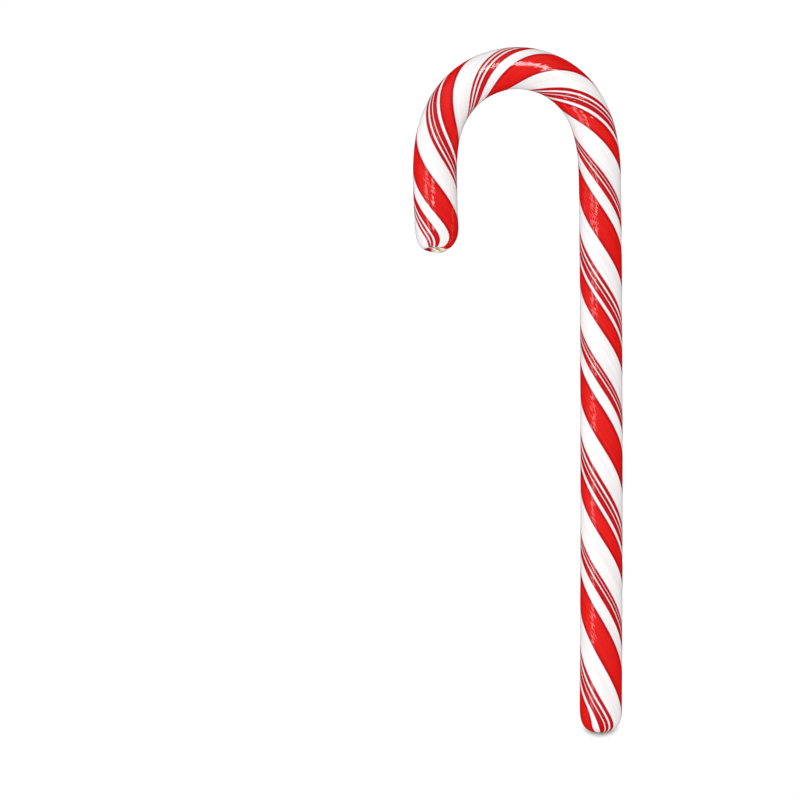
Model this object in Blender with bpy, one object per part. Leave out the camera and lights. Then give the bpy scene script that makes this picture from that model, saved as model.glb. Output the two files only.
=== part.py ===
"""Candy cane: one rolled stick of pulled sugar whose upper end is bent into a hook.

The cane lies on its side with the hook in the XY plane, +Y towards the crown of the hook,
+Z up, and the origin under the middle of its outline. Lengths along the stick run from the
foot of the shaft, over the hook, to the cut tip. All sizes are in metres.
"""

import math

import bmesh
import bpy
from mathutils import Matrix, Vector

# The stick
STICK_RADIUS = 0.0043
LIMB_RADIUS = 0.00447
STICK_LENGTH = 0.1919
SIDES = 36

# The line that the stick follows: a shaft with a slight bow, a shoulder that bends into the
# crown, the crown itself, and a fall into a straight limb that leans in towards the shaft
SHAFT_LENGTH = 0.1074
SHAFT_BOW_RADIUS = 6.1
SHAFT_LEAN = math.radians(0.47)
SHOULDER_LENGTH = 0.0261
CROWN_LENGTH = 0.0249
CROWN_FIRST_RADIUS = 0.01565
CROWN_LAST_RADIUS = 0.01627
FALL_LENGTH = 0.0252
LINE_STEP = 0.0001

# The foot is blunt and the tip is longer and rounder. The cut of the tip lies above the middle
# of the limb and towards the shaft.
FOOT_DOME = 0.0050
FOOT_POWER = 2.55
FOOT_FLAT_RADIUS = 0.0008
TIP_DOME = 0.0059
TIP_POWER = 2.3
TIP_CUT_RADIUS = 0.0013
TIP_RISE = 0.0019
TIP_SHIFT = 0.0006
TIP_SHIFT_OVER = (0.4, 0.8)

# How closely the solid follows the line
SHAFT_RING_SPACING = 0.006
HOOK_RING_SPACING = 0.0018
DOME_RINGS = 9

SHOULDER_END = SHAFT_LENGTH + SHOULDER_LENGTH
CROWN_END = SHOULDER_END + CROWN_LENGTH
FALL_END = CROWN_END + FALL_LENGTH
UP = Vector((0.0, 0.0, 1.0))


def clear_scene():
    for obj in list(bpy.data.objects):
        bpy.data.objects.remove(obj, do_unlink=True)


def ramp(value, low, high):
    """Rise smoothly from 0 at low to 1 at high."""
    share = min(max((value - low) / (high - low), 0.0), 1.0)
    return share * share * (3.0 - 2.0 * share)


def curvature(along):
    """How sharply the stick bends to the left at a length along it."""
    shoulder = ramp(along, SHAFT_LENGTH, SHOULDER_END)
    fall = 1.0 - ramp(along, CROWN_END, FALL_END)
    crown_share = min(max((along - SHOULDER_END) / CROWN_LENGTH, 0.0), 1.0)
    crown_start = 1.0 / CROWN_FIRST_RADIUS
    crown_end = 1.0 / CROWN_LAST_RADIUS
    crown = crown_start + (crown_end - crown_start) * crown_share
    return (shoulder * crown + (1.0 - shoulder) / SHAFT_BOW_RADIUS) * fall


def stick_line():
    """Points and headings every LINE_STEP along the middle of the stick, from the foot."""
    points = []
    heading = math.pi / 2.0 - SHAFT_LEAN
    point = Vector((0.0, 0.0, 0.0))
    for index in range(round(STICK_LENGTH / LINE_STEP) + 1):
        points.append((point.copy(), heading))
        heading += curvature((index + 0.5) * LINE_STEP) * LINE_STEP
        point += LINE_STEP * Vector((math.cos(heading), math.sin(heading), 0.0))
    return points


def body_radius(along):
    """The stick grows a little fatter from the middle of the crown to the limb of the hook."""
    swell = ramp(along, (SHOULDER_END + CROWN_END) / 2.0, (CROWN_END + FALL_END) / 2.0)
    return STICK_RADIUS + (LIMB_RADIUS - STICK_RADIUS) * swell


def dome_rings(length, power, flat_radius, full_radius):
    """Depths from the end and radii of the rings that round it, outermost ring last."""
    first_angle = math.asin((flat_radius / full_radius) ** (power / 2.0))
    rings = []
    for index in range(DOME_RINGS + 1):
        angle = first_angle + (math.pi / 2.0 - first_angle) * index / DOME_RINGS
        depth = length * (1.0 - max(math.cos(angle), 0.0) ** (2.0 / power))
        radius = full_radius * math.sin(angle) ** (2.0 / power)
        rings.append((depth, radius))
    return rings


def ring_plan():
    """Length along the stick and radius of every ring of the solid, foot to tip."""
    foot = dome_rings(FOOT_DOME, FOOT_POWER, FOOT_FLAT_RADIUS, STICK_RADIUS)
    tip = dome_rings(TIP_DOME, TIP_POWER, TIP_CUT_RADIUS, LIMB_RADIUS)
    plan = [(depth - foot[0][0], radius) for depth, radius in foot]
    tip_start = STICK_LENGTH - (tip[-1][0] - tip[0][0])
    for low, high, spacing in (
        (plan[-1][0], SHAFT_LENGTH, SHAFT_RING_SPACING),
        (SHAFT_LENGTH, tip_start, HOOK_RING_SPACING),
    ):
        count = round((high - low) / spacing)
        for index in range(1, count + 1):
            along = low + (high - low) * index / count
            plan.append((along, body_radius(along)))
    for depth, radius in reversed(tip[:-1]):
        plan.append((STICK_LENGTH - depth + tip[0][0], radius))
    return plan


def tip_offset(along, radius, side):
    """The cut end of the hook sits above the middle of the limb and towards the shaft."""
    if along < FALL_END:
        return Vector((0.0, 0.0, 0.0))
    closing = 1.0 - radius / body_radius(along)
    return closing * TIP_RISE * UP - ramp(closing, *TIP_SHIFT_OVER) * TIP_SHIFT * side


def ring_frame(line, along, radius):
    """Axes of the ring: its sides level, square across the line, one polygon side down."""
    step = min(int(along / LINE_STEP), len(line) - 1)
    point, heading = line[step]
    ahead = Vector((math.cos(heading), math.sin(heading), 0.0))
    side = ahead.cross(UP)
    rest_height = body_radius(along) * math.cos(math.pi / SIDES)
    centre = point + (along - step * LINE_STEP) * ahead
    centre += rest_height * UP + tip_offset(along, radius, side)
    axes = Matrix((side, UP, -ahead)).transposed().to_4x4()
    half_side_turn = Matrix.Rotation(math.pi / SIDES, 4, "Z")
    return Matrix.Translation(centre) @ axes @ half_side_turn


def sweep_stick():
    """Set rings of SIDES corners along the line, skin them and close both ends."""
    mesh = bmesh.new()
    line = stick_line()
    rings = []
    for along, radius in ring_plan():
        frame = ring_frame(line, along, radius)
        made = bmesh.ops.create_circle(mesh, segments=SIDES, radius=radius, matrix=frame)
        rings.append(made["verts"])
    for lower, upper in zip(rings, rings[1:]):
        for corner in range(SIDES):
            after = (corner + 1) % SIDES
            mesh.faces.new((lower[corner], lower[after], upper[after], upper[corner]))
    mesh.faces.new(rings[0])
    mesh.faces.new(rings[-1])
    bmesh.ops.recalc_face_normals(mesh, faces=mesh.faces)
    return mesh


def centre_on_origin(mesh):
    """Put the origin under the middle of the outline."""
    for axis in (0, 1):
        values = [vert.co[axis] for vert in mesh.verts]
        middle = (min(values) + max(values)) / 2.0
        for vert in mesh.verts:
            vert.co[axis] -= middle


def sugar_material():
    material = bpy.data.materials.new("pulled_sugar")
    material.use_nodes = True
    shader = material.node_tree.nodes["Principled BSDF"]
    shader.inputs["Base Color"].default_value = (0.9, 0.86, 0.85, 1.0)
    shader.inputs["Roughness"].default_value = 0.22
    shader.inputs["Metallic"].default_value = 0.0
    return material


def build_candy_cane():
    mesh = sweep_stick()
    centre_on_origin(mesh)
    data = bpy.data.meshes.new("candy_cane")
    mesh.to_mesh(data)
    mesh.free()
    data.materials.append(sugar_material())
    data.shade_smooth()
    data.set_sharp_from_angle(angle=math.radians(35.0))
    cane = bpy.data.objects.new("candy_cane", data)
    bpy.context.scene.collection.objects.link(cane)


clear_scene()
build_candy_cane()
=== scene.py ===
"""A candy cane lying on its side: one stick of white pulled sugar with red ribbons, twisted and bent."""

import math

import bmesh
import bpy
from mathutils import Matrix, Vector, noise


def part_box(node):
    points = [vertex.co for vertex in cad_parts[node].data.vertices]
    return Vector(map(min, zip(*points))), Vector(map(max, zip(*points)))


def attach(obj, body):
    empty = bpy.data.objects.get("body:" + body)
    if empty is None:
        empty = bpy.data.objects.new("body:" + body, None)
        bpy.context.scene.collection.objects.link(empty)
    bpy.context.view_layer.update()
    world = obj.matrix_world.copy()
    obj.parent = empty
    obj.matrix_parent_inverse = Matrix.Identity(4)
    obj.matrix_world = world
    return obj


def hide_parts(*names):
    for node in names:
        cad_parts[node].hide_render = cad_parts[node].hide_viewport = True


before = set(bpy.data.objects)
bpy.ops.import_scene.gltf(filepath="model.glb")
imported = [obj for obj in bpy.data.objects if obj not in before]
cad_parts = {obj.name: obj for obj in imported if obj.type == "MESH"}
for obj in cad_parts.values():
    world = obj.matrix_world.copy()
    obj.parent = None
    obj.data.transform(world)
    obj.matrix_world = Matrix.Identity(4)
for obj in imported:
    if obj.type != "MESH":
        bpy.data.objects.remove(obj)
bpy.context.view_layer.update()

# The rope. A batch of white pulled sugar with red ribbons laid along it is rolled into a round
# rope and cut to length. Each end is pinched round, and keeps a small break in its middle
# where the sugar snapped. The hook's end is a little fatter than the rest.
STICK_LENGTH = 0.1919
STICK_RADIUS = 0.0043
LIMB_RADIUS = 0.00447
SWELL_START = 0.14595
SWELL_END = 0.171
COLUMNS = 160
RING_SPACING = 0.00037
END_RINGS = 20
BREAK_RINGS = 9
POLE_RADIUS = 0.00006
FOOT_DOME = 0.0050
FOOT_POWER = 2.55
FOOT_BREAK = 0.0008
TIP_DOME = 0.0059
TIP_POWER = 2.3
TIP_BREAK = 0.0014
MM = 0.001


def ramp(value, low, high):
    """Rise smoothly from 0 at low to 1 at high."""
    share = min(max((value - low) / (high - low), 0.0), 1.0)
    return share * share * (3.0 - 2.0 * share)


def body_radius(along):
    """Radius of the rope away from its ends."""
    return STICK_RADIUS + (LIMB_RADIUS - STICK_RADIUS) * ramp(along, SWELL_START, SWELL_END)


def pinched_end(length, power, break_radius, full_radius):
    """Rings of a rounded end, from the pole of its break outwards: depth, radius and reach.

    Depth is measured from the break. Reach is how far along the skin of the break a ring is,
    and is below 0 inside the break.
    """
    rings = []
    for index in range(BREAK_RINGS):
        radius = POLE_RADIUS + (break_radius - POLE_RADIUS) * index / BREAK_RINGS
        rings.append((0.0, radius, radius - break_radius))
    first_angle = math.asin((break_radius / full_radius) ** (power / 2.0))
    first_depth = length * (1.0 - math.cos(first_angle) ** (2.0 / power))
    for index in range(END_RINGS + 1):
        angle = first_angle + (math.pi / 2.0 - first_angle) * index / END_RINGS
        depth = length * (1.0 - max(math.cos(angle), 0.0) ** (2.0 / power)) - first_depth
        rings.append((depth, full_radius * math.sin(angle) ** (2.0 / power), depth))
    return rings


foot_rings = pinched_end(FOOT_DOME, FOOT_POWER, FOOT_BREAK, STICK_RADIUS)
tip_rings = pinched_end(TIP_DOME, TIP_POWER, TIP_BREAK, LIMB_RADIUS)
body_start = foot_rings[-1][0]
body_end = STICK_LENGTH - tip_rings[-1][0]
body_count = round((body_end - body_start) / RING_SPACING)
ring_plan = list(foot_rings)
for index in range(1, body_count):
    along = body_start + (body_end - body_start) * index / body_count
    ring_plan.append((along, body_radius(along), along))
for depth, radius, reach in reversed(tip_rings):
    ring_plan.append((STICK_LENGTH - depth, radius, STICK_LENGTH - reach))

rope = bmesh.new()
around_layer = rope.verts.layers.float.new("around")
along_layer = rope.verts.layers.float.new("along")
bmesh.ops.create_circle(rope, segments=COLUMNS, radius=1.0)
for vert in rope.verts:
    vert[around_layer] = math.degrees(math.atan2(vert.co.y, vert.co.x)) % 360.0
last_ring = len(ring_plan) - 1
drawn_out = bmesh.ops.extrude_edge_only(rope, edges=rope.edges[:])["geom"]
far_end = [part for part in drawn_out if isinstance(part, bmesh.types.BMVert)]
bmesh.ops.translate(rope, vec=(0.0, 0.0, last_ring), verts=far_end)
long_edges = [edge for edge in rope.edges if edge.verts[0].co.z != edge.verts[1].co.z]
bmesh.ops.subdivide_edges(rope, edges=long_edges, cuts=last_ring - 1, use_grid_fill=True)
poles = {0: [], last_ring: []}
for vert in rope.verts:
    ring = round(vert.co.z)
    place, radius, reach = ring_plan[ring]
    vert.co = Vector((radius * vert.co.x, radius * vert.co.y, place))
    vert[along_layer] = reach
    if ring in poles:
        poles[ring].append(vert)
bmesh.ops.pointmerge(rope, verts=poles[0], merge_co=(0.0, 0.0, 0.0))
bmesh.ops.pointmerge(rope, verts=poles[last_ring], merge_co=(0.0, 0.0, STICK_LENGTH))

# The skin. The ribbons were rolled into the white while it was warm and stand a hair proud of
# it. Their edges move where the foot was squeezed, over the crown and where the tip was pinched
# off. Rolling by hand leaves soft flats, and the breaks at the ends crumble.
RIBBONS = (
    (49.3, 94.0),
    (105.0, 118.8),
    (122.4, 131.3),
    (138.1, 148.2),
    (205.7, 273.2),
    (305.3, 319.8),
    (324.5, 331.8),
    (334.4, 341.2),
)
FOOT_REACH = 5.5
FOOT_MOVES = {0: (-62.0, -37.0), 1: (-15.0, -6.0), 2: (-4.5, -1.5), 3: (0.0, 5.0), 4: (-25.0, 0.0)}
CROWN_REACH = (118.0, 148.0)
CROWN_MOVES = {5: (-1.5, 1.5), 6: (3.5, 3.5), 7: (7.4, 7.4)}
TIP_START = 186.5
TIP_REACH = 4.0
TIP_MOVES = {4: (0.0, -3.0), 5: (-6.0, -13.0), 6: (-12.0, -12.0), 7: (-16.0, -16.0)}
RIBBON_RISE = 0.02 * MM
RIBBON_SHOULDER = 4.0
FLAT_DEPTH = 0.035 * MM
FLAT_LENGTH = 11.0 * MM
CRUMB_SIZE = 0.55 * MM
CRUMB_DEPTH = 0.35 * MM
TIP_BULGE = 0.2 * MM


def ribbon_share(around, along_mm):
    """1 on a red ribbon and 0 on the white, with a soft shoulder between them."""
    at_foot = max(1.0 - along_mm / FOOT_REACH, 0.0) ** 2
    at_crown = ramp(along_mm, *CROWN_REACH)
    at_tip = max((along_mm - TIP_START) / TIP_REACH, 0.0) ** 2
    inside = []
    for number, (start, end) in enumerate(RIBBONS):
        for share, moves in ((at_foot, FOOT_MOVES), (at_crown, CROWN_MOVES), (at_tip, TIP_MOVES)):
            start_moves, end_moves = moves.get(number, (0.0, 0.0))
            start += share * start_moves
            end += share * end_moves
        inside.append(min(around - start, end - around))
    return ramp(max(inside), -RIBBON_SHOULDER / 2.0, RIBBON_SHOULDER / 2.0)


for vert in rope.verts:
    around = math.radians(vert[around_layer])
    along = vert[along_layer]
    out = Vector((math.cos(around), math.sin(around), 0.0))
    radius = vert.co.xy.length
    body = min(radius / body_radius(along), 1.0)
    flat = noise.noise(Vector((out.x, out.y, along / FLAT_LENGTH)))
    rise = RIBBON_RISE * ribbon_share(vert[around_layer], along / MM) + FLAT_DEPTH * flat
    vert.co += out * rise * ramp(body, 0.15, 0.7)
    for break_end, break_radius, ahead, bulge in (
        (0.0, FOOT_BREAK, -1.0, -0.15 * MM),
        (STICK_LENGTH, TIP_BREAK, 1.0, TIP_BULGE),
    ):
        beyond = break_radius - radius if abs(vert.co.z - break_end) < 1.5 * MM else -1.0
        rough = ramp(beyond, -0.25 * MM, 0.35 * MM)
        if rough > 0.0:
            crumb = noise.turbulence(vert.co / CRUMB_SIZE, 3, False, noise_basis="BLENDER")
            vert.co.z += ahead * rough * (bulge + CRUMB_DEPTH * (crumb - 0.25))

# The twist. While it is warm the rope is turned round its own length, so that its straight
# ribbons run round it as a left-handed helix. Hands turn it a little unevenly, less at the
# last, and it springs back at the tip.
TWIST_START = 988.56
TWIST_PER_MM = 7.753
TWIST_GAIN = 0.0059
TWIST_WAVES = ((33.3, 1.36, 1.91), (37.2, -0.35, 3.01))
SLACK_PER_MM = 0.4
SLACK_FROM = 178.0
SPRING_BACK = 72.0
SPRING_BACK_LENGTH = 9.9
SPRING_BACK_POWER = 5


def twist(along):
    """Degrees that the rope is turned at a length along it."""
    along_mm = along / MM
    turn = TWIST_START - (TWIST_PER_MM + TWIST_GAIN * along_mm) * along_mm
    for length, start, size in TWIST_WAVES:
        turn -= size * math.sin(2.0 * math.pi * along_mm / length + start)
    turn += SLACK_PER_MM * max(along_mm - SLACK_FROM, 0.0)
    sprung = max(1.0 - (STICK_LENGTH - along) / MM / SPRING_BACK_LENGTH, 0.0)
    return turn + SPRING_BACK * sprung**SPRING_BACK_POWER


# The crook. The twisted rope is laid flat and its upper end is bent over, first by the
# shoulder, then by an even crown, and then by a straight limb that leans in to the shaft.
SHAFT_LENGTH = 0.1074
SHAFT_BOW_RADIUS = 6.1
SHAFT_LEAN = math.radians(0.47)
SHOULDER_END = 0.1335
CROWN_END = 0.1584
FALL_END = 0.1836
CROWN_FIRST_RADIUS = 0.01565
CROWN_LAST_RADIUS = 0.01627
LINE_STEP = 0.0001
TIP_RISE = 0.0019
TIP_SHIFT = 0.00065
TIP_SHIFT_OVER = (0.4, 0.8)
TIP_LEAN = 0.00022
TIP_LEAN_OVER = (0.0, 0.3)
TIP_TILT = math.tan(math.radians(21.0))
UP = Vector((0.0, 0.0, 1.0))


def curvature(along):
    """How sharply the stick bends to the left at a length along it."""
    shoulder = ramp(along, SHAFT_LENGTH, SHOULDER_END)
    fall = 1.0 - ramp(along, CROWN_END, FALL_END)
    crown_share = min(max((along - SHOULDER_END) / (CROWN_END - SHOULDER_END), 0.0), 1.0)
    crown_start = 1.0 / CROWN_FIRST_RADIUS
    crown_end = 1.0 / CROWN_LAST_RADIUS
    crown = crown_start + (crown_end - crown_start) * crown_share
    return (shoulder * crown + (1.0 - shoulder) / SHAFT_BOW_RADIUS) * fall


crook_line = []
heading = math.pi / 2.0 - SHAFT_LEAN
point = Vector((0.0, 0.0, 0.0))
for index in range(round(STICK_LENGTH / LINE_STEP) + 1):
    crook_line.append((point.copy(), heading))
    heading += curvature((index + 0.5) * LINE_STEP) * LINE_STEP
    point += LINE_STEP * Vector((math.cos(heading), math.sin(heading), 0.0))

for vert in rope.verts:
    along = min(max(vert[along_layer], 0.0), STICK_LENGTH)
    step = min(int(along / LINE_STEP), len(crook_line) - 1)
    point, heading = crook_line[step]
    ahead = Vector((math.cos(heading), math.sin(heading), 0.0))
    side = ahead.cross(UP)
    radius = vert.co.xy.length
    turned = math.atan2(vert.co.y, vert.co.x) + math.radians(twist(along))
    across = radius * math.sin(turned)
    upward = radius * math.cos(turned)
    forward = vert.co.z - step * LINE_STEP
    centre = body_radius(along) * UP
    if along > FALL_END:
        closing = max(1.0 - radius / body_radius(along), 0.0)
        centre += closing * TIP_RISE * UP
        centre += (TIP_LEAN * ramp(closing, *TIP_LEAN_OVER) - TIP_SHIFT * ramp(closing, *TIP_SHIFT_OVER)) * side
        tilt = ramp(closing, 0.2, 0.75)
        forward -= tilt * TIP_TILT * (upward + TIP_BREAK)
    vert.co = point + forward * ahead + centre + across * side + upward * UP

box_low, box_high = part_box("candy_cane")
for axis in (0, 1):
    values = [vert.co[axis] for vert in rope.verts]
    middle = (min(values) + max(values)) / 2.0
    cad_middle = (box_low[axis] + box_high[axis]) / 2.0
    for vert in rope.verts:
        vert.co[axis] += cad_middle - middle
lowest = min(vert.co.z for vert in rope.verts)
bmesh.ops.translate(rope, vec=(0.0, 0.0, box_low[2] - lowest), verts=rope.verts)
bmesh.ops.recalc_face_normals(rope, faces=rope.faces)

# The maps of the skin. The first lays it out as the straight rope, round it and along it. The
# second folds the same strip into three rows that fill a square.
ROWS = 3
ROW_GUTTER = 0.012
FULL_TURN = 360.0
BREAK_SLOT = 1
reach_start = -FOOT_BREAK
reach_length = STICK_LENGTH + TIP_BREAK - reach_start
straight_map = rope.loops.layers.uv.new("straight_rope")
folded_map = rope.loops.layers.uv.new("OFBake")
pole_verts = {vert for vert in rope.verts if len(vert.link_edges) == COLUMNS}
for face in rope.faces:
    face.smooth = True
    turns = [loop.vert[around_layer] for loop in face.loops if loop.vert not in pole_verts]
    wraps = max(turns) - min(turns) > FULL_TURN / 2.0
    turns = [turn + FULL_TURN if wraps and turn < FULL_TURN / 2.0 else turn for turn in turns]
    face_middle = sum(loop.vert[along_layer] for loop in face.loops) / len(face.loops)
    row = min(int((face_middle - reach_start) / reach_length * ROWS), ROWS - 1)
    for loop in face.loops:
        around = loop.vert[around_layer]
        if loop.vert in pole_verts:
            around = sum(turns) / len(turns)
        elif wraps and around < FULL_TURN / 2.0:
            around += FULL_TURN
        share = (loop.vert[along_layer] - reach_start) / reach_length
        loop[straight_map].uv = (around / FULL_TURN, loop.vert[along_layer] / STICK_LENGTH)
        loop[folded_map].uv = (
            ROW_GUTTER + (1.0 - 2.0 * ROW_GUTTER) * (share * ROWS - row),
            (row + ROW_GUTTER * ROWS / 2.0 + (1.0 - ROW_GUTTER * ROWS) * around / FULL_TURN) / ROWS,
        )
    if face_middle < 0.0 or face_middle > STICK_LENGTH:
        face.material_index = BREAK_SLOT

cane_mesh = bpy.data.meshes.new("candy_cane_sugar")
rope.to_mesh(cane_mesh)
rope.free()
cane_mesh.uv_layers["straight_rope"].active_render = True
cane = bpy.data.objects.new("candy_cane_sugar", cane_mesh)
bpy.context.scene.collection.objects.link(cane)


# The sugar. White sugar is pulled until it is full of fine air threads, and the ribbons are
# the same sugar with red dye, which bleeds a little into the white. Pulling leaves fine
# streaks that run with the ribbons, and the skin is glossy as glass.
def work_out(tree, operation, *values):
    """A Math node on these values, each a number or the output of another node."""
    node = tree.nodes.new("ShaderNodeMath")
    node.operation = operation
    for socket, value in zip(node.inputs, values):
        if isinstance(value, bpy.types.NodeSocket):
            tree.links.new(value, socket)
        else:
            socket.default_value = value
    return node.outputs[0]


def fit_range(tree, value, low, high, new_low, new_high):
    """A Map Range node that is smooth and stays between its two new values."""
    node = tree.nodes.new("ShaderNodeMapRange")
    node.interpolation_type = "SMOOTHSTEP"
    for name, number in (
        ("From Min", low),
        ("From Max", high),
        ("To Min", new_low),
        ("To Max", new_high),
    ):
        node.inputs[name].default_value = number
    tree.links.new(value, node.inputs["Value"])
    return node.outputs["Result"]


def sugar_noise(tree, place, stretch, detail):
    """Noise over the straight rope, with this many lumps to the millimetre on each axis."""
    mapping = tree.nodes.new("ShaderNodeMapping")
    mapping.inputs["Scale"].default_value = stretch
    tree.links.new(place, mapping.inputs["Vector"])
    node = tree.nodes.new("ShaderNodeTexNoise")
    node.inputs["Scale"].default_value = 1.0
    node.inputs["Detail"].default_value = detail
    tree.links.new(mapping.outputs["Vector"], node.inputs["Vector"])
    return node.outputs["Fac"]


def new_group(name, inputs, outputs):
    """An empty shader group, and its input and output nodes."""
    group = bpy.data.node_groups.new(name, "ShaderNodeTree")
    for socket_name, kind in inputs:
        group.interface.new_socket(name=socket_name, in_out="INPUT", socket_type=kind)
    for socket_name, kind in outputs:
        group.interface.new_socket(name=socket_name, in_out="OUTPUT", socket_type=kind)
    return group, group.nodes.new("NodeGroupInput"), group.nodes.new("NodeGroupOutput")


def use_group(tree, group):
    """Put a group in a material."""
    node = tree.nodes.new("ShaderNodeGroup")
    node.node_tree = group
    return node


# Where a point was on the straight rope: degrees round it, and its place in millimetres
straight_rope, group_in, group_out = new_group(
    "straight_rope",
    (("Map", "NodeSocketVector"),),
    (("Around", "NodeSocketFloat"), ("Place", "NodeSocketVector")),
)
split = straight_rope.nodes.new("ShaderNodeSeparateXYZ")
straight_rope.links.new(group_in.outputs["Map"], split.inputs["Vector"])
degrees = work_out(straight_rope, "MULTIPLY", split.outputs["X"], FULL_TURN)
turned = work_out(straight_rope, "MULTIPLY", split.outputs["X"], 2.0 * math.pi)
join = straight_rope.nodes.new("ShaderNodeCombineXYZ")
for socket_name, operation in (("X", "COSINE"), ("Y", "SINE")):
    unit = work_out(straight_rope, operation, turned)
    placed = work_out(straight_rope, "MULTIPLY", unit, STICK_RADIUS / MM)
    straight_rope.links.new(placed, join.inputs[socket_name])
along_mm = work_out(straight_rope, "MULTIPLY", split.outputs["Y"], STICK_LENGTH / MM)
straight_rope.links.new(along_mm, join.inputs["Z"])
straight_rope.links.new(degrees, group_out.inputs["Around"])
straight_rope.links.new(join.outputs["Vector"], group_out.inputs["Place"])

# The threads that pulling leaves: fine ones, and broad ones that they gather in
pulled_threads, group_in, group_out = new_group(
    "pulled_threads",
    (("Place", "NodeSocketVector"),),
    (("Fine", "NodeSocketFloat"), ("Broad", "NodeSocketFloat")),
)
fine = sugar_noise(pulled_threads, group_in.outputs["Place"], (2.4, 2.4, 0.16), 0.0)
broad = sugar_noise(pulled_threads, group_in.outputs["Place"], (1.1, 1.1, 0.06), 2.0)
pulled_threads.links.new(fine, group_out.inputs["Fine"])
pulled_threads.links.new(broad, group_out.inputs["Broad"])

striped = bpy.data.materials.new("striped_sugar")
striped.use_nodes = True
tree = striped.node_tree
shader = tree.nodes["Principled BSDF"]
skin_map = tree.nodes.new("ShaderNodeUVMap")
skin_map.uv_map = "straight_rope"
rope_place = use_group(tree, straight_rope)
tree.links.new(skin_map.outputs["UV"], rope_place.inputs["Map"])
threads = use_group(tree, pulled_threads)
tree.links.new(rope_place.outputs["Place"], threads.inputs["Place"])

# The edges of the ribbons wander a little
EDGE_WANDER = 2.4
EDGE_FRAY = 0.9
wander = sugar_noise(tree, rope_place.outputs["Place"], (0.5, 0.5, 0.07), 1.0)
fray = sugar_noise(tree, rope_place.outputs["Place"], (1.6, 1.6, 0.5), 2.0)
moved = work_out(tree, "MULTIPLY_ADD", wander, EDGE_WANDER, rope_place.outputs["Around"])
moved = work_out(tree, "MULTIPLY_ADD", fray, EDGE_FRAY, moved)
moved = work_out(tree, "SUBTRACT", moved, (EDGE_WANDER + EDGE_FRAY) / 2.0)
rope_split = tree.nodes.new("ShaderNodeSeparateXYZ")
tree.links.new(rope_place.outputs["Place"], rope_split.inputs["Vector"])
along_rope = rope_split.outputs["Z"]

# Their edges move at the foot, over the crown and at the tip, where one was smeared round
at_foot = work_out(tree, "MULTIPLY_ADD", along_rope, -1.0 / FOOT_REACH, 1.0)
at_foot = work_out(tree, "MAXIMUM", at_foot, 0.0)
at_foot = work_out(tree, "MULTIPLY", at_foot, at_foot)
at_crown = fit_range(tree, along_rope, *CROWN_REACH, 0.0, 1.0)
at_tip = work_out(tree, "MULTIPLY_ADD", along_rope, 1.0 / TIP_REACH, -TIP_START / TIP_REACH)
at_tip = work_out(tree, "MAXIMUM", at_tip, 0.0)
at_tip = work_out(tree, "MULTIPLY", at_tip, at_tip)
SMEAR_START = -25.0
SMEAR_WIDTH = 87.0
SMEAR_PLACE = 191.6
SMEAR_THICKNESS = 0.5
DEGREES_PER_MM = 20.0
past_smear_start = work_out(tree, "SUBTRACT", moved, SMEAR_START)
past_smear_start = work_out(tree, "FLOORED_MODULO", past_smear_start, FULL_TURN)
before_smear_end = work_out(tree, "SUBTRACT", SMEAR_WIDTH, past_smear_start)
from_smear = work_out(tree, "ABSOLUTE", work_out(tree, "SUBTRACT", along_rope, SMEAR_PLACE))
into_smear = work_out(tree, "SUBTRACT", SMEAR_THICKNESS / 2.0, from_smear)
into_smear = work_out(tree, "MULTIPLY", into_smear, DEGREES_PER_MM)
deepest = work_out(tree, "MINIMUM", past_smear_start, before_smear_end)
deepest = work_out(tree, "MINIMUM", deepest, into_smear)
for number, ribbon in enumerate(RIBBONS):
    edges = list(ribbon)
    for share, moves in ((at_foot, FOOT_MOVES), (at_crown, CROWN_MOVES), (at_tip, TIP_MOVES)):
        for edge, move in enumerate(moves.get(number, ())):
            edges[edge] = work_out(tree, "MULTIPLY_ADD", share, move, edges[edge])
    past_start = work_out(tree, "SUBTRACT", moved, edges[0])
    before_end = work_out(tree, "SUBTRACT", edges[1], moved)
    inside = work_out(tree, "MINIMUM", past_start, before_end)
    deepest = work_out(tree, "MAXIMUM", deepest, inside)

# The dye from the white, over the bleed at the edge, to the middle of a wide ribbon
DYE_OUT = -2.4
DYE_IN = 11.0
DYE_STOPS = (
    (-2.4, (0.912, 0.878, 0.876)),
    (-1.1, (0.890, 0.730, 0.740)),
    (-0.1, (0.680, 0.190, 0.210)),
    (0.7, (0.480, 0.010, 0.018)),
    (1.5, (0.440, 0.002, 0.007)),
    (4.0, (0.510, 0.002, 0.004)),
    (7.0, (0.640, 0.005, 0.006)),
    (11.0, (0.748, 0.0105, 0.0085)),
)
depth_share = tree.nodes.new("ShaderNodeMapRange")
depth_share.inputs["From Min"].default_value = DYE_OUT
depth_share.inputs["From Max"].default_value = DYE_IN
tree.links.new(deepest, depth_share.inputs["Value"])
dye = tree.nodes.new("ShaderNodeValToRGB")
while len(dye.color_ramp.elements) < len(DYE_STOPS):
    dye.color_ramp.elements.new(0.5)
for stop, (depth, colour) in zip(dye.color_ramp.elements, DYE_STOPS):
    stop.position = (depth - DYE_OUT) / (DYE_IN - DYE_OUT)
    stop.color = (*colour, 1.0)
tree.links.new(depth_share.outputs["Result"], dye.inputs["Fac"])

# Streaks darken and lighten both colours
streak = work_out(tree, "MULTIPLY_ADD", threads.outputs["Fine"], 0.35, threads.outputs["Broad"])
streak_light = fit_range(tree, streak, 0.45, 0.9, 0.9, 1.06)
streaked = tree.nodes.new("ShaderNodeMix")
streaked.data_type = "RGBA"
streaked.blend_type = "MULTIPLY"
streaked.inputs["Factor"].default_value = 0.6
tree.links.new(dye.outputs["Color"], streaked.inputs["A"])
tree.links.new(streak_light, streaked.inputs["B"])
tree.links.new(streaked.outputs["Result"], shader.inputs["Base Color"])

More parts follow.
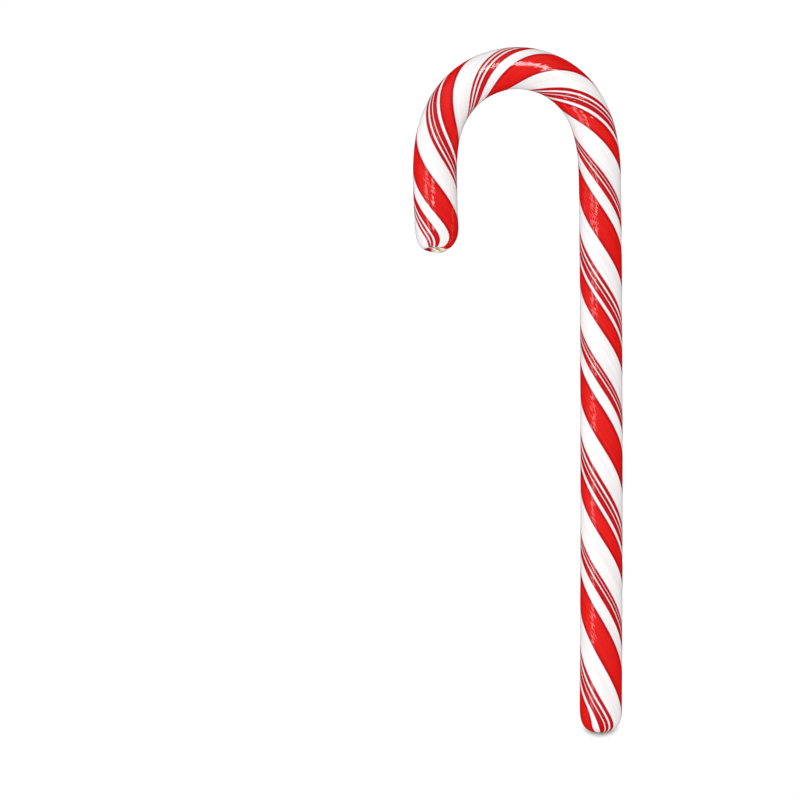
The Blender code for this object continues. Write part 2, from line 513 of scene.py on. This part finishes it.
# Red is glassier than white
red_share = fit_range(tree, deepest, -1.0, 1.0, 0.0, 1.0)
white_gloss = fit_range(tree, threads.outputs["Broad"], 0.3, 0.7, 0.17, 0.24)
red_gloss = fit_range(tree, threads.outputs["Broad"], 0.3, 0.7, 0.07, 0.12)
gloss = tree.nodes.new("ShaderNodeMix")
tree.links.new(red_share, gloss.inputs["Factor"])
tree.links.new(white_gloss, gloss.inputs["A"])
tree.links.new(red_gloss, gloss.inputs["B"])
tree.links.new(gloss.outputs["Result"], shader.inputs["Roughness"])

THREAD_HEIGHT = 0.07
LUMP_HEIGHT = 0.07
RIBBON_HEIGHT = 0.01
lumps = sugar_noise(tree, rope_place.outputs["Place"], (0.45, 0.45, 0.3), 1.0)
skin_height = work_out(tree, "MULTIPLY", threads.outputs["Fine"], THREAD_HEIGHT)
skin_height = work_out(tree, "MULTIPLY_ADD", lumps, LUMP_HEIGHT, skin_height)
skin_height = work_out(tree, "MULTIPLY", skin_height, fit_range(tree, red_share, 0.0, 1.0, 0.2, 1.0))
skin_height = work_out(tree, "MULTIPLY_ADD", red_share, RIBBON_HEIGHT, skin_height)
skin_bump = tree.nodes.new("ShaderNodeBump")
skin_bump.inputs["Distance"].default_value = MM
tree.links.new(skin_height, skin_bump.inputs["Height"])
tree.links.new(skin_bump.outputs["Normal"], shader.inputs["Normal"])
shader.inputs["IOR"].default_value = 1.5
shader.inputs["Subsurface Weight"].default_value = 0.3
shader.inputs["Subsurface Radius"].default_value = (0.8, 0.1, 0.1)
shader.inputs["Subsurface Scale"].default_value = 0.5 * MM
cane_mesh.materials.append(striped)

# The broken sugar. Where the rope was snapped off, the inside of the batch shows as dull, ivory
# crumbs. The cracks between them are a painted shade in toffee brown, put where the crumb bump is lowest.
broken = bpy.data.materials.new("broken_sugar")
broken.use_nodes = True
tree = broken.node_tree
shader = tree.nodes["Principled BSDF"]
crumb_place = tree.nodes.new("ShaderNodeTexCoord")
crumb_map = tree.nodes.new("ShaderNodeMapping")
crumb_map.inputs["Scale"].default_value = (1.0 / MM,) * 3
tree.links.new(crumb_place.outputs["Object"], crumb_map.inputs["Vector"])
crumbs = sugar_noise(tree, crumb_map.outputs["Vector"], (1.4, 1.4, 1.4), 3.0)
# Ivory crumbs, with painted shade in brown at the low end of the ramp, where the bump is lowest
crumb_colour_and_crack_shade = tree.nodes.new("ShaderNodeValToRGB")
crumb_colour_and_crack_shade.color_ramp.elements[0].position = 0.41
crumb_colour_and_crack_shade.color_ramp.elements[0].color = (0.5, 0.29, 0.14, 1.0)
crumb_colour_and_crack_shade.color_ramp.elements[1].position = 0.52
crumb_colour_and_crack_shade.color_ramp.elements[1].color = (0.95, 0.9, 0.77, 1.0)
tree.links.new(crumbs, crumb_colour_and_crack_shade.inputs["Fac"])
tree.links.new(crumb_colour_and_crack_shade.outputs["Color"], shader.inputs["Base Color"])
crumb_gloss = fit_range(tree, crumbs, 0.35, 0.65, 0.7, 0.45)
tree.links.new(crumb_gloss, shader.inputs["Roughness"])
crumb_bump = tree.nodes.new("ShaderNodeBump")
crumb_bump.inputs["Distance"].default_value = 0.15 * MM
tree.links.new(crumbs, crumb_bump.inputs["Height"])
tree.links.new(crumb_bump.outputs["Normal"], shader.inputs["Normal"])
cane_mesh.materials.append(broken)

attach(cane, "root")
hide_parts("candy_cane")

# The floor. A wide sheet of white paper under the cane, lit from below. Its glow is darkened by ambient
# occlusion into a painted shadow: a soft grey one close to the foot, and a paler one elsewhere.
SHADOW_REACH = 3.2 * MM
SHADOW_OPENNESS = (0.64, 0.88)
SHADOW_LEVELS = (0.16, 1.03)
PALE_OPENNESS = (0.0, 0.4)
PALE_LEVELS = (0.75, 1.03)
SHADOW_RISE = (-0.0702, -0.0682)
FLOOR_SIZE = 6.0
floor_shape = bmesh.new()
bmesh.ops.create_grid(floor_shape, x_segments=1, y_segments=1, size=FLOOR_SIZE)
bmesh.ops.translate(floor_shape, vec=(0.0, 0.0, -0.02 * MM), verts=floor_shape.verts)
floor_mesh = bpy.data.meshes.new("paper_floor")
floor_shape.to_mesh(floor_mesh)
floor_shape.free()
floor = bpy.data.objects.new("paper_floor", floor_mesh)
bpy.context.scene.collection.objects.link(floor)
paper = bpy.data.materials.new("white_paper")
paper.use_nodes = True
paper_tree = paper.node_tree
paper_shader = paper_tree.nodes["Principled BSDF"]
paper_path = paper_tree.nodes.new("ShaderNodeLightPath")
paper_colour = paper_tree.nodes.new("ShaderNodeMix")
paper_colour.data_type = "RGBA"
paper_colour.inputs["A"].default_value = (0.0, 0.0, 0.0, 1.0)
paper_colour.inputs["B"].default_value = (0.6, 0.6, 0.6, 1.0)
paper_tree.links.new(paper_path.outputs["Is Diffuse Ray"], paper_colour.inputs["Factor"])
paper_tree.links.new(paper_colour.outputs["Result"], paper_shader.inputs["Base Color"])
# Painted shadow: the glow that the camera sees drops where ambient occlusion finds the cane close by, most near
# the foot
openness = paper_tree.nodes.new("ShaderNodeAmbientOcclusion")
openness.inputs["Distance"].default_value = SHADOW_REACH
painted_foot_shadow = fit_range(paper_tree, openness.outputs["AO"], *SHADOW_OPENNESS, *SHADOW_LEVELS)
painted_pale_shadow = fit_range(paper_tree, openness.outputs["AO"], *PALE_OPENNESS, *PALE_LEVELS)
paper_place = paper_tree.nodes.new("ShaderNodeTexCoord")
paper_split = paper_tree.nodes.new("ShaderNodeSeparateXYZ")
paper_tree.links.new(paper_place.outputs["Object"], paper_split.inputs["Vector"])
paper_glow_with_painted_shadow = paper_tree.nodes.new("ShaderNodeMix")
past_foot = fit_range(paper_tree, paper_split.outputs["Y"], *SHADOW_RISE, 0.0, 1.0)
paper_tree.links.new(past_foot, paper_glow_with_painted_shadow.inputs["Factor"])
paper_tree.links.new(painted_foot_shadow, paper_glow_with_painted_shadow.inputs["A"])
paper_tree.links.new(painted_pale_shadow, paper_glow_with_painted_shadow.inputs["B"])
seen_glow_with_painted_shadow = work_out(
    paper_tree, "MULTIPLY", paper_path.outputs["Is Camera Ray"], paper_glow_with_painted_shadow.outputs["Result"]
)
paper_shader.inputs["Emission Color"].default_value = (1.0, 1.0, 1.0, 1.0)
paper_tree.links.new(seen_glow_with_painted_shadow, paper_shader.inputs["Emission Strength"])
paper_shader.inputs["Roughness"].default_value = 0.9
paper_shader.inputs["Specular IOR Level"].default_value = 0.0
floor_mesh.materials.append(paper)

# The light. A white room all round, a broad dim panel to the left of the cane, and a narrow
# bright strip beyond its crown.
room = bpy.data.worlds.new("white_room")
bpy.context.scene.world = room
room.use_nodes = True
room_tree = room.node_tree
room_path = room_tree.nodes.new("ShaderNodeLightPath")
room_light = room_tree.nodes["Background"]
ROOM_LEVEL = 1.15
ROOM_SLOPE = -0.22
GLOSS_ABOVE = 0.12
GLOSS_ROUND = 0.22
room_way = room_tree.nodes.new("ShaderNodeTexCoord")
room_side = room_tree.nodes.new("ShaderNodeSeparateXYZ")
room_tree.links.new(room_way.outputs["Generated"], room_side.inputs["Vector"])
soft_level = work_out(room_tree, "MULTIPLY_ADD", room_side.outputs["X"], ROOM_SLOPE, ROOM_LEVEL)
beyond_left = work_out(room_tree, "SUBTRACT", room_side.outputs["Y"], room_side.outputs["X"])
beyond_left = work_out(room_tree, "MAXIMUM", beyond_left, 0.0)
overhead = work_out(room_tree, "MAXIMUM", room_side.outputs["Z"], 0.0)
gloss_level = work_out(room_tree, "MULTIPLY", beyond_left, GLOSS_ROUND)
gloss_level = work_out(room_tree, "MULTIPLY_ADD", overhead, GLOSS_ABOVE, gloss_level)
for ray, level in (("Is Glossy Ray", gloss_level), ("Is Camera Ray", 1.0)):
    mix = room_tree.nodes.new("ShaderNodeMix")
    room_tree.links.new(room_path.outputs[ray], mix.inputs["Factor"])
    room_tree.links.new(soft_level, mix.inputs["A"])
    if isinstance(level, bpy.types.NodeSocket):
        room_tree.links.new(level, mix.inputs["B"])
    else:
        mix.inputs["B"].default_value = level
    soft_level = mix.outputs["Result"]
room_tree.links.new(soft_level, room_light.inputs["Strength"])
room_light.inputs["Color"].default_value = (1.0, 1.0, 1.0, 1.0)


def soft_panel(name, place, aim, width, height, power):
    """A rectangular lamp that faces a point on the cane and only shows in its gloss."""
    lamp = bpy.data.lights.new(name, "AREA")
    lamp.shape = "RECTANGLE"
    lamp.size = width
    lamp.size_y = height
    lamp.energy = power
    panel = bpy.data.objects.new(name, lamp)
    panel.location = place
    panel.rotation_euler = (Vector(aim) - Vector(place)).to_track_quat("-Z", "Y").to_euler()
    panel.visible_camera = False
    panel.visible_diffuse = False
    bpy.context.scene.collection.objects.link(panel)


soft_panel("left_panel", (-0.73, -0.24, 0.68), (0.0, -0.24, 0.0), 0.78, 0.2, 1.9)
soft_panel("crown_strip", (0.1, 0.48, 0.87), (0.0, 0.0, 0.0), 0.5, 0.3, 6.2)
soft_panel("near_strip", (-0.062, 0.035, 0.19), (0.0, 0.035, 0.0), 0.026, 0.034, 0.024)

# The camera looks straight down through a long lens, from above a point left of the cane.
CAMERA_LENS = 600.0
CAMERA_SENSOR = 36.0
VIEW_WIDTH = 0.1634
VIEW_HEIGHT_MIDDLE = 0.0043
lens = bpy.data.cameras.new("camera")
lens.lens = CAMERA_LENS
lens.sensor_width = CAMERA_SENSOR
camera = bpy.data.objects.new("camera", lens)
camera_distance = VIEW_WIDTH * CAMERA_LENS / CAMERA_SENSOR
camera.location = (-0.02407, -0.00204, VIEW_HEIGHT_MIDDLE + camera_distance)
bpy.context.scene.collection.objects.link(camera)
bpy.context.scene.camera = camera
bpy.context.scene.view_settings.view_transform = "Standard"
